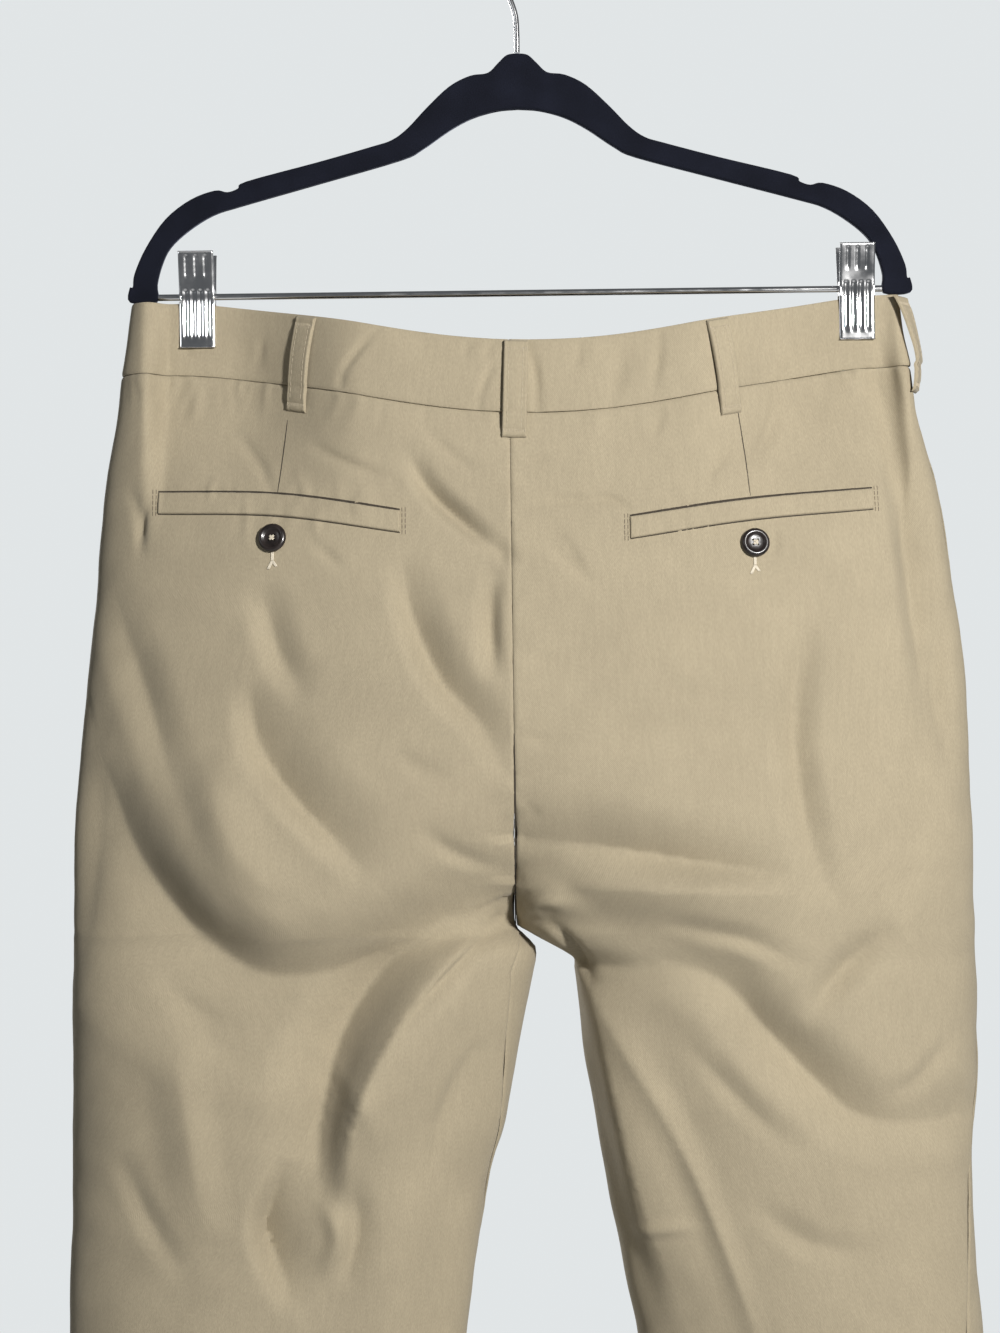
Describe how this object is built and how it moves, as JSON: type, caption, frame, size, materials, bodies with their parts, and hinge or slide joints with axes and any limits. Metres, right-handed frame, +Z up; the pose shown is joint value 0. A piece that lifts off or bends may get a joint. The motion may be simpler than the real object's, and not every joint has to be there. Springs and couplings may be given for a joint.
{
  "type": "chinos on a clip hanger",
  "caption": "Khaki chinos hung by the waistband from a black velvet clip hanger, with welt back pockets, belt loops, open waist and hollow legs.",
  "frame": {"origin": "inside crown of the hanger's hook, where a closet rod holds it", "axes": "+Z up, +X to the wearer's right, -Y out of the seat, +Y out of the fly front"},
  "size_m": [0.5191, 0.131, 1.3741],
  "materials": {
    "khaki_twill": "washed cotton twill, matt",
    "horn_button": "dark brown horn look, semi-gloss",
    "velvet": "flocked, black",
    "plated_steel": "bright plated"
  },
  "bodies": {
    "root": {"back_left": "khaki_twill", "back_right": "khaki_twill", "front_left": "khaki_twill", "front_right": "khaki_twill", "waistband_left": "khaki_twill", "waistband_right": "khaki_twill", "waist_tab": "khaki_twill", "fly_placket": "khaki_twill", "pocket_welt_left": "khaki_twill", "pocket_welt_right": "khaki_twill", "front_pocket_edge_left": "khaki_twill", "front_pocket_edge_right": "khaki_twill", "belt_loop_centre_back": "khaki_twill", "belt_loop_back_left": "khaki_twill", "belt_loop_back_right": "khaki_twill", "belt_loop_side_left": "khaki_twill", "belt_loop_side_right": "khaki_twill", "belt_loop_front_left": "khaki_twill", "belt_loop_front_right": "khaki_twill", "pocket_button_left": "horn_button", "pocket_button_right": "horn_button", "waist_button": "horn_button", "hanger_body": "velvet", "hanger_hook": "plated_steel", "hanger_rod": "plated_steel", "clip_left_jaw_seat": "plated_steel", "clip_left_jaw_front": "plated_steel", "clip_right_jaw_seat": "plated_steel", "clip_right_jaw_front": "plated_steel"}
  },
  "joints": []
}
